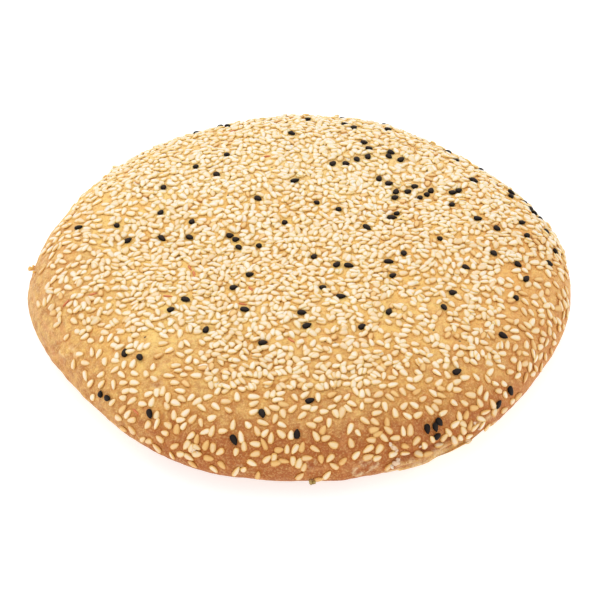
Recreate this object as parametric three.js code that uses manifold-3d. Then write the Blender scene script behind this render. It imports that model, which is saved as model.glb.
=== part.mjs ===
// A round sesame flatbread: a soft domed crown, a rounded shoulder, a side that draws in
// to a flat base, a low lip where the base crust stands out, and sesame seeds baked in.
//
// Millimetres, +Z up. The origin is the middle of the base, on the surface that the
// bread lies on. The side where the seeds thin out and the crust is brownest faces -Y.
import * as THREE from "three";
import { ConvexGeometry } from "three/addons/geometries/ConvexGeometry.js";
import { mergeVertices } from "three/addons/utils/BufferGeometryUtils.js";
import Module from "manifold-3d";

const wasm = await Module();
wasm.setup();

// ---- Driving dimensions ----

const RIM_RADIUS = 82; // at the widest part of the side
const CROWN_HEIGHT = 27.5;
const RIM_HEIGHT = 8.5; // of the widest part above the base
const BASE_SHARE = 0.72; // the flat base's radius over the rim's
const DOME_POWER = 6; // how flat the crown stays before the shoulder falls away

// A hand-shaped bread is uneven. Round the rim: [lobes, size, turn in degrees], with the
// size as a share of the radius for the outline, and in millimetres for the rim's height.
const OUTLINE_LOBES = [
  [2, 0.005, 135],
  [3, 0.005, 91],
  [4, 0.013, -21],
  [5, 0.006, 78],
  [6, 0.011, 44],
  [7, 0.003, -137],
];
const RIM_HEIGHT_LOBES = [
  [1, 0.9, 160],
  [3, 0.6, 20],
  [5, 0.4, 110],
];
// Across the crown: [wavelength, heading in degrees, turn in degrees, height].
const CROWN_SWELLS = [
  [98, 25, 70, 0.8],
  [66, 115, 210, 0.6],
  [47, 70, 330, 0.4],
  [34, 160, 130, 0.25],
];
const SWELL_POWER = 4; // how near the rim the swells fade out

// Where the base crust stands out from the side: [turn in degrees, spread in degrees, reach].
const BASE_LIPS = [
  [-54, 17, 3.6],
  [-128, 13, 2.2],
  [40, 22, 1.4],
  [150, 26, 1.6],
];
const LIP_HEIGHT = 2.5; // of the lip's middle above the base
const LIP_THICKNESS = 1.6;
const CREASE_HEIGHT = 5.6; // of the crease that sets the lip off from the side
const CREASE_SHARE = 0.35; // the crease's depth over the lip's reach

const SEED_LENGTH = 3.3;
const SEED_WIDTH = 1.9;
const SEED_TAPER = 0.3; // how much narrower the pointed half is
const SEED_STANDS = 0.7; // above the crust
const SEED_SUNK = 0.5; // below it
const SEED_SPREAD = 1.25; // the sunken outline over the seed's own length and width
const SEED_RIDGE = [-0.22, 0.15]; // where the ridge starts and ends, as shares of the length
const SEED_COUNT = 330;
const SEED_SPACING = 6.6; // between centres where they lie thickest
const BARE_SPACING = 9.5; // where they lie thinnest, low on the side
const LOWEST_SEED = 3.5; // above the base
const SEEDED_SHARE = 1.75; // how far down the crust the seeds reach, as crust() counts

// ---- Fineness of the solid ----

const SECTORS = 64;
const CROWN_RINGS = 14;
const SIDE_RINGS = 8;
const RIM_CROWDING = 2; // how much closer the crown's rings lie towards the rim
const SEED_SIDES = 6;
const SEED_TRIES = 60000;
const RANDOM_START = 20;
const WELD = 1e-4; // points closer than this are one

// ---- Form of the crust ----

const radians = THREE.MathUtils.degToRad;

function bell(x, spread) {
  return Math.exp(-((x / spread) ** 2));
}

function lobes(list, turn) {
  return list.reduce((sum, [count, size, start]) => sum + size * Math.cos(count * turn - radians(start)), 0);
}

function rimRadius(turn) {
  return RIM_RADIUS * (1 + lobes(OUTLINE_LOBES, turn));
}

function rimHeight(turn) {
  return RIM_HEIGHT + lobes(RIM_HEIGHT_LOBES, turn);
}

function swell(x, y) {
  return CROWN_SWELLS.reduce((sum, [wavelength, heading, start, height]) => {
    const along = x * Math.cos(radians(heading)) + y * Math.sin(radians(heading));
    return sum + height * Math.sin((2 * Math.PI * along) / wavelength + radians(start));
  }, 0);
}

function lip(turn, height) {
  const reach = BASE_LIPS.reduce((sum, [middle, spread, size]) => {
    const away = THREE.MathUtils.euclideanModulo(turn - radians(middle) + Math.PI, 2 * Math.PI) - Math.PI;
    return sum + size * bell(away, radians(spread));
  }, 0);
  const stands = bell(height - LIP_HEIGHT, LIP_THICKNESS);
  const dips = bell(height - CREASE_HEIGHT, LIP_THICKNESS);
  return reach * (stands - CREASE_SHARE * dips);
}

// A point of the crust. Share runs from 0 at the top of the crown to 1 at the rim, and
// on to 2 at the edge of the flat base.
function crust(turn, share) {
  const rim = rimRadius(turn);
  const widest = rimHeight(turn);
  let radius;
  let height;
  if (share <= 1) {
    radius = rim * share;
    const [x, y] = [radius * Math.cos(turn), radius * Math.sin(turn)];
    const fall = Math.sqrt(Math.max(0, 1 - share ** DOME_POWER));
    height = widest + (CROWN_HEIGHT - widest) * fall + swell(x, y) * (1 - share ** SWELL_POWER);
  } else {
    const bend = ((share - 1) * Math.PI) / 2;
    height = widest * (1 - Math.sin(bend));
    radius = rim * (BASE_SHARE + (1 - BASE_SHARE) * Math.cos(bend)) + lip(turn, height);
  }
  return new THREE.Vector3(radius * Math.cos(turn), radius * Math.sin(turn), height);
}

function crustNormal(turn, share) {
  const step = 0.01; // of a radian, and of a share
  const inwards = Math.min(share, 2 - step);
  const down = crust(turn, inwards + step).sub(crust(turn, Math.max(0, inwards - step)));
  const round = crust(turn + step, inwards).sub(crust(turn - step, inwards));
  return down.cross(round).normalize();
}

// ---- Solids ----

function solidOf(geometry) {
  geometry.deleteAttribute("normal");
  geometry.deleteAttribute("uv");
  const merged = mergeVertices(geometry, WELD);
  return new wasm.Manifold(
    new wasm.Mesh({
      numProp: 3,
      vertProperties: new Float32Array(merged.attributes.position.array),
      triVerts: new Uint32Array(merged.index.array),
    }),
  );
}

function geometryOf(solid) {
  const { vertProperties, triVerts } = solid.getMesh();
  const geometry = new THREE.BufferGeometry();
  geometry.setAttribute("position", new THREE.BufferAttribute(vertProperties, 3));
  geometry.setIndex(new THREE.BufferAttribute(triVerts, 1));
  geometry.computeVertexNormals();
  return geometry;
}

// The rings crowd towards the rim, where the crust turns fastest.
function ringShares() {
  const crown = Array.from({ length: CROWN_RINGS }, (_, i) => 1 - (1 - (i + 1) / CROWN_RINGS) ** RIM_CROWDING);
  const side = Array.from({ length: SIDE_RINGS }, (_, i) => 1 + (i + 1) / SIDE_RINGS);
  return [...crown, ...side];
}

function crustGeometry() {
  const shares = ringShares();
  const points = [crust(0, 0), new THREE.Vector3(0, 0, 0)];
  for (const share of shares) {
    for (let i = 0; i < SECTORS; i++) points.push(crust((2 * Math.PI * i) / SECTORS, share));
  }
  const at = (ring, i) => 2 + ring * SECTORS + (i % SECTORS);
  const last = shares.length - 1;
  const faces = [];
  for (let i = 0; i < SECTORS; i++) {
    faces.push(0, at(0, i), at(0, i + 1));
    for (let ring = 0; ring < last; ring++) {
      faces.push(at(ring, i), at(ring + 1, i), at(ring + 1, i + 1));
      faces.push(at(ring, i), at(ring + 1, i + 1), at(ring, i + 1));
    }
    faces.push(1, at(last, i + 1), at(last, i));
  }
  return new THREE.BufferGeometry().setFromPoints(points).setIndex(faces);
}

// A flat teardrop along Y, narrower towards its far end: a sunken outline under a short ridge.
function seedGeometry() {
  const outline = Array.from({ length: SEED_SIDES }, (_, i) => {
    const turn = (2 * Math.PI * i) / SEED_SIDES;
    const across = Math.sin(turn) * (1 - SEED_TAPER * Math.cos(turn));
    const length = SEED_SPREAD * SEED_LENGTH * Math.cos(turn);
    return new THREE.Vector3((SEED_SPREAD * SEED_WIDTH * across) / 2, length / 2, -SEED_SUNK);
  });
  const ridge = SEED_RIDGE.map((share) => new THREE.Vector3(0, share * SEED_LENGTH, SEED_STANDS));
  return new ConvexGeometry([...outline, ...ridge]);
}

// ---- Where the seeds lie ----

// A small seeded generator (mulberry32), so that every build scatters the seeds alike.
function randomFrom(start) {
  let state = start;
  return () => {
    state = (state + 0x6d2b79f5) | 0;
    let mixed = Math.imul(state ^ (state >>> 15), state | 1);
    mixed ^= mixed + Math.imul(mixed ^ (mixed >>> 7), mixed | 61);
    return ((mixed ^ (mixed >>> 14)) >>> 0) / 2 ** 32;
  };
}

// Thickest on the crown and towards the back, thinnest low on the side and at the front.
function spacingAt(point) {
  const low = THREE.MathUtils.smoothstep(CROWN_HEIGHT - point.z, 0, CROWN_HEIGHT - RIM_HEIGHT);
  const front = THREE.MathUtils.smoothstep(-point.y, 0, RIM_RADIUS);
  return THREE.MathUtils.lerp(SEED_SPACING, BARE_SPACING, (low + front) / 2);
}

function scatterSeeds(random) {
  const placed = [];
  for (let tries = 0; placed.length < SEED_COUNT && tries < SEED_TRIES; tries++) {
    const turn = 2 * Math.PI * random();
    const share = SEEDED_SHARE * Math.sqrt(random());
    const heading = 2 * Math.PI * random();
    const point = crust(turn, share);
    if (point.z < LOWEST_SEED) continue;
    const spacing = spacingAt(point);
    if (placed.every((other) => other.point.distanceTo(point) > spacing)) {
      placed.push({ point, normal: crustNormal(turn, share), heading });
    }
  }
  return placed;
}

// Turns the seed about its own flat side, then lays that side on the crust.
function seedPlace({ point, normal, heading }) {
  const spin = new THREE.Quaternion().setFromAxisAngle(new THREE.Vector3(0, 0, 1), heading);
  const lie = new THREE.Quaternion().setFromUnitVectors(new THREE.Vector3(0, 0, 1), normal);
  return new THREE.Matrix4().compose(point, lie.multiply(spin), new THREE.Vector3(1, 1, 1));
}

function seededCrust() {
  const seed = seedGeometry();
  const seeds = scatterSeeds(randomFrom(RANDOM_START)).map((lying) =>
    solidOf(seed.clone().applyMatrix4(seedPlace(lying))),
  );
  return wasm.Manifold.union([solidOf(crustGeometry()), ...seeds]);
}

// ---- The part ----

const flatbread = new THREE.Mesh(
  geometryOf(seededCrust()),
  new THREE.MeshStandardMaterial({ color: 0xe3b676, roughness: 0.75, metalness: 0 }),
);
flatbread.name = "flatbread";

const part = new THREE.Group();
part.add(flatbread);

export default part;
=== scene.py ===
# The looks of a round sesame flatbread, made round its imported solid: a fine crust in
# the solid's own form, and every pale, toasted and black seed that lies on it.
#
# Forms are worked out in millimetres and turned into metres as each mesh is made.
import itertools
import math

import bpy
import numpy as np
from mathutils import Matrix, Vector, noise
from mathutils.bvhtree import BVHTree


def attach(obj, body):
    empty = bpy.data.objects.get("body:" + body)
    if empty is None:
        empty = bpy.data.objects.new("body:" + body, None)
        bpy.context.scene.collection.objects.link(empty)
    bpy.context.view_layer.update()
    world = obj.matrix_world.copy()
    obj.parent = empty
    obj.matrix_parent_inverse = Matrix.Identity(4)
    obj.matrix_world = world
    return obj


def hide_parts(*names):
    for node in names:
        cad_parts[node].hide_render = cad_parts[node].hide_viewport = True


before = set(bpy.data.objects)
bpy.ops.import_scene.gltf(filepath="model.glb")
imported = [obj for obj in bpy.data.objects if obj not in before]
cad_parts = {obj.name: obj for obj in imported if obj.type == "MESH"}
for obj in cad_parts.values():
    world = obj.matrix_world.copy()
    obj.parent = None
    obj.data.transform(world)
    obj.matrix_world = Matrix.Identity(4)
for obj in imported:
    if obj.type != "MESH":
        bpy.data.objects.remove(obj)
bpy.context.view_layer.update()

MM = 0.001
RANDOM_START = 225

# ---- The crust's form, as in the solid (millimetres) ----

RIM_RADIUS = 82
CROWN_HEIGHT = 27.5
RIM_HEIGHT = 8.5
BASE_SHARE = 0.72
DOME_POWER = 6
# Lobes round the rim: [how many, size as a share of the radius or in height, turn in degrees]
OUTLINE_LOBES = [
    (2, 0.005, 135),
    (3, 0.005, 91),
    (4, 0.013, -21),
    (5, 0.006, 78),
    (6, 0.011, 44),
    (7, 0.003, -137),
]
RIM_HEIGHT_LOBES = [(1, 0.9, 160), (3, 0.6, 20), (5, 0.4, 110)]
# Swells across the crown: [wavelength, heading in degrees, turn in degrees, height]
CROWN_SWELLS = [(98, 25, 70, 0.8), (66, 115, 210, 0.6), (47, 70, 330, 0.4), (34, 160, 130, 0.25)]
# Where the base crust stands out: [turn in degrees, spread in degrees, reach]
BASE_LIPS = [(-54, 17, 3.6), (-128, 13, 2.2), (40, 22, 1.4), (150, 26, 1.6)]
LIP_HEIGHT = 2.5
LIP_THICKNESS = 1.6
CREASE_HEIGHT = 5.6
CREASE_SHARE = 0.35
SWELL_POWER = 4

# ---- Fineness of the crust and its relief ----

CROWN_RINGS = 130  # ring j has 6 j points
SIDE_RINGS = 36
BASE_RINGS = CROWN_RINGS // 2
PROFILE_STEPS = 4001  # of the shares that even rings are found among
# Lumps, dimples and grain: [height, wavelength, where their noise starts]
RELIEF = [(0.38, 17, 3.1), (0.18, 4.6, 11.7), (0.07, 1.5, 29.3)]
WRINKLE_HEIGHT = 0.4
BROWN_FRONT = (-12, -76)  # from where the front starts to brown, to where it is brownest
BROWN_RIGHT = (25, 85)
# How brown or pale the crust is: [axis, where that starts and is full, how much]. Left row: painted shade;
# back row, below 0: painted light.
BROWNED_AND_PAINTED_LIGHT_SIDES = [
    (1, *BROWN_FRONT, 0.38),
    (0, *BROWN_RIGHT, 0.24),
    (1, 30, -10, 0.13),
    (0, -46, -84, 0.4),
    (1, 8, 50, -0.33),
]
LEFT_RIM = 172  # degrees, where the wrinkles and the flour are
LIP_TURN = -56  # degrees, where the lip is pale

# ---- Seeds (length, width and thickness in millimetres) ----

SEED_SIZE = (3.05, 1.82, 0.88)
APART_SIZE = (3.25, 1.82, 0.88)  # of the seeds that lie apart
BLACK_SIZE = (3.1, 1.85, 1.15)
HUSK_SIZE = (2.9, 0.8, 0.5)
SPECK_SIZE = (1.0, 0.4, 0.35)
SIZE_SPREAD = 0.09  # of seeds of one kind, as a share of the size
SIZE_LIMITS = (0.75, 1.25)  # of a seed's size over its kind's
SEED_SUNK = 0.28  # how deep a seed's underside lies in the crust
HIGHEST_LIFT = 2.0  # of a seed's middle above the crust, before it sinks in
STEEPEST = (0.45, 0.5)  # pitch and roll, in radians
TIP_REACH = 0.75  # of the places that a seed rests on at its ends, over half its length
SIDE_REACH = 0.8  # and at its sides, over half its width
WOBBLE = (0.07, 0.1)  # of its pitch and roll, in radians
BEND = 0.03  # how far a seed's ends bend to a side, as a share of its width
SEED_RINGS = 6
BLUNTNESS = (0.8, 1.3)  # how a seed's blunt half and its pointed half draw in
SEED_TAPER = 0.22  # how much narrower the pointed half is
EDGE_GIRTH = (0.34, 0.9)  # where the painted shade round the edge starts and is full, from a seed's top to its side
EDGE_ENDS = (0.36, 0.46)  # and from its middle to its ends, as shares of its length
TIP_ENDS = (0.12, 0.5)  # the same for the tip's colour
# Where a seed's section has its points, in degrees up from its side: closest over its top.
SECTION_TURNS = [-38, -8, 17, 42, 66, 90, 114, 138, 163, 188, 218, 270]
SEED_CELL = 3.6  # of the grid that finds a seed's neighbours
DENT_CELL = 3.0  # of the grid that finds the crust's points round a seed
DENT_DEPTH = 0.12  # of the crust close round a seed
RAISED_DENT = 0.35  # the share of it under a seed that lies on others
SEED_COUNT = 3700
SEED_TRIES = 8  # places drawn for each scattered seed
KIND_SHARES = {"pale": 0.28, "ivory": 0.28, "straw": 0.25, "golden": 0.16, "toasted": 0.03}
APART_KINDS = ("pale", "ivory", "straw", "golden")
LEFT_KINDS = ("pale", "pale", "ivory", "straw")
FRONT_SPAN = (5, -62)  # from where the seeds start to thin out towards the front, to where that is full
# Where the scattered seeds thin out: [axis, where that starts and is full, share missing]
THINNED_SIDES = [(1, *FRONT_SPAN, 0.52), (0, -24, -74, 0.7), (2, 20, 6, 0.35), (0, 25, 65, 0.2)]
LOWEST_SEED = 4.5  # above the base, at the back
FRONT_RISE = 2.5  # how much higher the lowest one is at the front
SEED_FADE = 4.5  # above the lowest ones, up to where they lie at their full number
THICK_SPOT = (0, 10)  # round it they lie thickest
THICK_REACH = (60, 30)  # from that spot, where that starts and is full
THICK_SHARE = 0.2
# Where few of them lie round the rim: [turn and spread in degrees, share missing, where that
# starts and is full, over the rim's radius]
BARE_RIMS = [(206, 25, 0.92, 0.86, 0.97), (160, 20, 0.6, 0.86, 0.97), (185, 50, 0.95, 0.92, 0.98)]
HIDDEN_BLACK_COUNT = 26  # on the side that the photograph doesn't show
CLEARANCE = 8  # how much more the scattered seeds keep off the kinds below
KEPT_CLEAR = ("black", "husk", "speck")

# ---- Crumbs ----

CRUMB_RINGS = 5
CRUMB_SIDES = 9
CRUMB_SHAPE = (1.0, 0.75, 0.55)
CRUMB_ROUGHNESS = 0.55
CRUMB_LIFT = 0.45  # of its middle above the crust, as a share of its size

# ---- The camera, set by the photograph ----

CAMERA_ELEVATION = math.radians(39)
CAMERA_DISTANCE = 850
CAMERA_TARGET = (0, 0, 14)
CAMERA_AIM = (-0.2, -4.0, 9.1)
CAMERA_LENS = 166.1  # millimetres, on a sensor 36 wide
SENSOR_WIDTH = 36
PHOTO_SIDE = 600  # pixels
PHOTO_MIDDLE = (300, 297)  # of the bread
NUDGES = 12  # towards the middle, for a pixel that misses the bread

# ---- Floor and light (metres) ----

FLOOR_SIZE = 8
FLOOR_GREY = 0.55
FLOOR_GLOW = 0.68
SKY_STRENGTH = 1.03
LAMP_SIZE = 0.8
LAMP_POWER = 2.3  # watts
LAMP_PLACE = (-0.35, 0.3, 0.88)

# ---- Colours, by the numbers 0 to 255 that a screen shows ----

# Seeds of each kind: light, dark, tip, and the painted shade round the edge and underneath.
SEED_COLOURS = {
    "pale": [(240, 230, 216), (235, 216, 184), (236, 215, 163), (227, 181, 97)],
    "ivory": [(239, 227, 208), (234, 210, 172), (234, 208, 153), (223, 174, 86)],
    "straw": [(237, 223, 199), (232, 205, 160), (231, 202, 142), (219, 166, 76)],
    "golden": [(235, 215, 184), (229, 195, 143), (229, 192, 127), (212, 155, 67)],
    "toasted": [(237, 202, 138), (225, 179, 107), (226, 176, 101), (204, 146, 66)],
    "black": [(50, 39, 33), (32, 24, 20), (24, 18, 14), (18, 13, 10)],
    "husk": [(222, 140, 76), (196, 96, 46), (206, 120, 60), (190, 92, 44)],
    "speck": [(70, 50, 36), (44, 32, 24), (40, 28, 20), (34, 24, 18)],
}
PALE_EDGE_SHADE = (240, 207, 130)  # painted shade round the edge and underneath of the pale kinds, at the light end of their tone
DARK_SLOTS = {
    "toasted": "toasted_sesame",
    "husk": "toasted_sesame",
    "black": "black_sesame",
    "speck": "black_sesame",
}
# Crumbs of each kind: light and dark.
CRUMB_COLOURS = {
    "white": [(240, 222, 202), (224, 192, 160)],
    "yellow": [(240, 206, 120), (226, 176, 92)],
    "olive": [(190, 160, 84), (150, 120, 58)],
}

# ---- What the photograph shows, by its pixels across and down ----

# Black seeds: how far each one's length is turned anticlockwise from level, in degrees, and
# what share of a whole seed's length shows, as it may lie end on or half hidden.
BLACK_SEEDS = [
    (195,131,25,0.7), (226,122,25,0.6), (308,120,5,0.7), (292,134,-20,0.8), (227,155,80,0.7),
    (196,167,60,0.7), (217,175,-20,0.8), (164,188,-20,0.65), (295,181,15,1), (258,199,-20,0.85),
    (317,203,45,0.65), (161,213,50,0.75), (192,222,65,0.75), (285,223,0,0.6), (117,226,65,0.6),
    (79,228,20,0.9), (162,239,-30,0.9), (128,241,25,0.95), (190,238,-30,0.9), (230,236,10,0.8),
    (236,240,10,0.75), (239,248,-50,0.8), (259,246,80,0.75), (314,257,50,0.75), (250,275,25,0.9),
    (234,288,8,0.9), (186,300,-15,1), (345,125,0,0.8), (354,128,30,0.9), (388,130,-10,0.8), (364,143,-5,0.8),
    (369,149,-5,0.8), (391,153,-15,0.8), (389,157,-40,0.8), (401,160,30,0.9), (368,157,55,0.8),
    (357,160,-50,0.8), (333,164,30,0.8), (346,164,5,0.8), (449,152,-15,0.7), (456,161,-5,0.8),
    (483,170,-35,0.8), (474,181,-25,1), (379,179,60,0.8), (389,184,5,0.9), (396,192,70,0.9), (395,198,15,0.8),
    (415,187,20,0.8), (408,192,20,0.8), (420,198,60,0.7), (427,195,50,0.7), (431,191,70,0.8),
    (453,193,10,0.9), (459,191,35,0.8), (452,205,65,0.75), (511,193,-35,0.9), (511,197,-45,0.7),
    (527,202,-30,0.6), (532,209,-70,0.8), (536,213,-35,0.8), (540,220,-70,0.9), (339,210,-20,0.65),
    (397,214,50,0.7), (392,218,0,1), (478,219,5,0.95), (522,223,0,0.75), (497,229,-25,0.8), (546,232,-30,0.7),
    (527,236,35,0.75), (367,228,-30,1), (440,239,30,0.6), (555,252,-45,0.75), (494,254,-45,0.9),
    (404,254,-70,0.8), (389,262,-10,1), (337,265,35,0.9), (349,266,-5,1), (466,268,-25,0.85),
    (518,265,-30,0.8), (549,264,-25,0.9), (526,279,55,0.9), (393,276,10,0.75), (323,288,15,0.75),
    (341,297,-5,1), (453,293,5,0.85), (516,298,60,0.65), (171,310,20,0.8), (206,330,70,0.85), (245,310,-15,1),
    (302,313,0,0.95), (307,326,20,1), (263,343,8,0.95), (125,353,80,1), (140,358,-65,1), (101,394,75,0.7),
    (108,398,-5,0.85), (150,414,-75,1), (262,414,-75,1.05), (310,401,20,0.95), (234,440,-65,1.1),
    (297,434,85,0.95), (389,312,65,0.9), (444,308,-60,0.85), (362,327,30,0.85), (503,336,-30,1),
    (457,372,25,1.05), (510,391,-70,1.1), (498,404,60,1), (439,422,-50,1), (427,429,-80,1), (435,427,-75,1),
    (437,436,35,0.85),
]

# The seeds that lie apart, at the front and along the right rim, where each can be told from
# the next: how far the pointed end is turned anticlockwise from level, in degrees.
FRONT_SEEDS = [
    (123,398,175), (132,401,215), (143,404,352), (152,402,70), (149,394,20), (157,393,265), (163,391,80),
    (168,398,270), (167,406,120), (180,391,170), (182,399,325), (176,403,340), (191,398,220), (197,402,210),
    (128,414,50), (132,420,190), (157,415,75), (157,424,250), (148,425,235), (168,425,150), (165,433,165),
    (174,415,95), (186,413,40), (181,420,10), (184,426,55), (193,419,42), (119,418,335), (132,430,125),
    (143,439,30), (149,441,185), (160,439,140), (157,448,140), (175,446,25), (191,436,220), (187,445,235),
    (192,448,80), (197,447,325), (197,454,5), (172,455,115), (181,454,5), (189,457,325), (93,397,60),
    (113,402,45), (208,397,25), (218,391,60), (226,391,35), (237,397,95), (226,402,355), (202,408,320),
    (216,407,320), (228,410,140), (212,418,25), (201,423,282), (205,432,200), (212,431,70), (223,431,5),
    (233,425,80), (248,425,132), (263,423,340), (275,419,250), (282,425,335), (257,431,115), (265,433,50),
    (271,438,82), (281,434,138), (291,435,85), (241,437,100), (244,446,95), (255,444,172), (287,449,88),
    (295,449,235), (213,448,265), (220,452,215), (236,452,255), (214,469,315), (255,454,195), (252,463,330),
    (236,471,60), (244,469,50), (267,459,40), (274,458,262), (293,461,270), (254,397,0), (254,404,25),
    (254,412,25), (267,411,120), (267,395,70), (273,394,70), (281,394,20), (278,400,10), (274,408,165),
    (283,414,285), (293,409,42), (295,398,300), (305,395,40), (302,416,215), (306,408,180), (314,409,25),
    (318,398,272), (324,412,5), (332,407,20), (338,399,40), (336,414,290), (342,413,255), (348,409,320),
    (352,404,330), (347,397,55), (356,392,300), (362,394,85), (368,393,295), (362,406,85), (369,401,0),
    (378,395,205), (377,405,35), (377,413,15), (385,407,285), (390,398,325), (395,413,105), (365,421,325),
    (375,422,322), (318,420,195), (311,425,165), (329,423,262), (316,436,120), (326,438,20), (333,445,165),
    (350,429,250), (358,433,308), (351,443,105), (371,440,175), (384,438,315), (388,430,140), (395,438,185),
    (368,449,215), (379,449,235), (315,449,330), (307,458,3), (330,458,225), (334,466,145), (356,455,45),
    (368,457,20), (377,458,18), (393,454,18), (393,447,135), (299,463,75), (304,467,70), (300,476,40),
    (327,475,50), (389,466,40), (404,373,320), (419,374,315), (429,380,30), (437,373,325), (411,380,345),
    (418,379,30), (439,383,45), (447,375,120), (457,382,25), (450,387,60), (457,390,0), (465,378,10),
    (476,377,130), (487,379,115), (490,372,50), (495,384,340), (498,391,175), (480,390,70), (486,396,80),
    (470,395,170), (411,388,345), (403,392,305), (393,385,15), (423,399,35), (433,393,145), (437,402,170),
    (435,408,315), (429,410,132), (414,405,150), (404,406,45), (407,416,150), (418,415,30), (443,413,30),
    (454,403,330), (464,403,150), (479,403,115), (459,416,100), (485,412,20), (494,412,60), (492,404,110),
    (455,424,35), (463,424,320), (463,430,115), (475,427,40), (482,425,60), (481,419,340), (487,427,50),
    (469,436,10), (460,438,320), (454,440,115), (448,432,125), (444,437,50), (432,439,120), (439,445,15),
    (424,445,120), (416,441,235), (410,430,88), (403,431,100), (405,453,0), (419,454,335), (392,378,0),
    (468,441,15), (515,338,175), (507,345,80), (515,348,235), (529,336,320), (526,345,90), (525,354,345),
    (540,347,20), (542,340,20), (546,343,250), (554,336,300), (554,343,0), (533,354,280), (535,359,250),
    (540,356,60), (545,357,290), (513,360,175), (519,366,80), (524,364,200), (529,367,260), (535,368,120),
    (541,367,80), (532,374,200), (517,376,215), (510,372,0), (504,384,330), (512,401,30), (505,395,300),
    (504,410,30), (534,263,185), (540,268,0), (543,264,200), (556,264,340), (528,267,90), (516,271,190),
    (525,271,315), (520,277,110), (528,285,230), (537,286,325), (547,285,190), (556,285,315), (548,274,300),
    (549,268,340), (560,271,135), (561,277,300), (566,276,310), (566,270,130), (517,289,215), (510,281,330),
    (508,286,180), (511,295,60), (534,297,200), (541,294,75), (563,293,110), (566,290,100), (525,302,315),
    (535,304,325), (544,301,300), (546,306,200), (551,306,130), (560,306,100), (564,304,115), (567,302,100),
    (514,309,0), (524,312,300), (531,313,310), (541,311,30), (549,314,110), (563,316,260), (567,313,80),
    (541,316,180), (542,322,60), (554,320,115), (558,321,120), (549,324,310), (527,325,140), (532,322,60),
    (535,331,190), (516,322,45), (507,328,35), (514,331,180), (549,331,90), (559,329,310), (543,334,330),
    (563,327,300),
]
# The ones at the left, in the same way.
LEFT_SEEDS = [
    (84,196,210), (92,196,60), (82,202,10), (97,203,210), (101,195,290), (77,208,15), (84,209,210),
    (90,209,80), (78,216,35), (107,210,220), (113,219,35), (118,211,15), (124,212,240), (131,214,355),
    (94,217,90), (97,221,180), (88,224,30), (94,227,325), (111,224,205), (102,231,15), (110,231,15),
    (129,222,185), (128,227,15), (59,234,60), (68,233,190), (77,235,10), (87,234,20), (91,236,150),
    (96,237,340), (69,237,340), (77,239,160), (54,239,5), (67,243,15), (49,246,210), (60,246,70),
    (93,243,330), (111,241,240), (121,244,30), (105,246,350), (44,252,230), (79,258,60), (63,262,340),
    (50,265,230), (75,265,30), (89,262,40), (96,261,210), (108,262,290), (115,268,330), (84,268,180),
    (60,271,30), (74,275,315), (54,280,235), (77,279,10), (88,279,0), (95,273,195), (104,275,10), (102,282,0),
    (107,289,130), (50,290,25), (58,291,15), (61,294,205), (69,288,345), (80,296,20), (49,299,240),
    (39,304,110), (45,302,90), (51,307,220), (70,304,50), (76,304,100), (84,306,270), (91,299,0),
    (101,301,320), (127,295,130), (127,301,5), (67,337,40), (85,337,210), (91,341,345), (102,339,80),
    (110,338,240), (117,340,300), (130,340,110), (135,336,210), (80,354,0), (92,352,100), (99,354,240),
    (74,364,85), (86,363,350), (105,362,275), (115,346,340), (120,347,20), (130,347,220), (117,356,90),
    (116,361,350), (124,365,260), (133,364,65), (131,352,20), (136,345,255), (141,347,60), (147,346,40),
    (115,370,215), (122,375,320), (135,374,335), (146,374,110), (153,367,80), (86,376,280), (101,375,205),
    (91,383,50), (102,384,45), (114,385,270), (124,383,0), (135,383,355), (154,379,150), (127,391,20),
    (134,391,350), (169,351,210), (164,336,330), (163,344,10), (180,334,260), (181,345,75), (187,344,310),
    (180,355,155), (189,352,20), (189,360,60), (196,362,120), (176,366,10), (189,369,345), (178,371,185),
    (184,375,355), (169,376,350), (196,376,180), (175,383,355),
]
# The browner ones in both places.
BROWNER_SEEDS = [
    (42,271,50), (159,356,30), (186,384,320), (123,409,45), (124,429,335), (177,429,85), (197,439,80),
    (193,464,320), (206,445,65), (209,458,350), (222,465,310), (258,475,75), (264,444,115), (279,450,8),
    (284,461,350), (276,463,10), (284,405,355), (302,447,75), (321,459,280), (323,430,65), (332,395,25),
    (343,461,45), (378,434,25), (387,422,95), (395,394,325), (319,479,15), (417,392,35), (441,396,340),
    (474,408,5), (466,415,70), (470,425,65), (405,446,345), (428,454,20), (441,389,350), (374,430,15),
    (519,353,45), (533,345,100), (551,352,280), (525,378,250), (518,396,45), (538,280,180), (553,274,340),
    (523,294,345), (511,301,10), (547,292,80), (559,297,315), (557,309,190), (522,328,330), (509,321,150),
]
# Below this edge, on the near side of the bread, no others lie.
FRONT_EDGE = [(56,333), (200,333), (202,389), (395,389), (400,370), (502,370), (504,262), (575,262)]
NEAR_SIDE = 15  # in front of this y, in millimetres
# At the left, between these two corners, others lie among them: [pixels across, share of the
# density elsewhere].
LEFT_ZONE = ((30,195), (131,308))
LEFT_SHARES = [(50, 0.3), (85, 0.6), (131, 0.95)]

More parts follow.
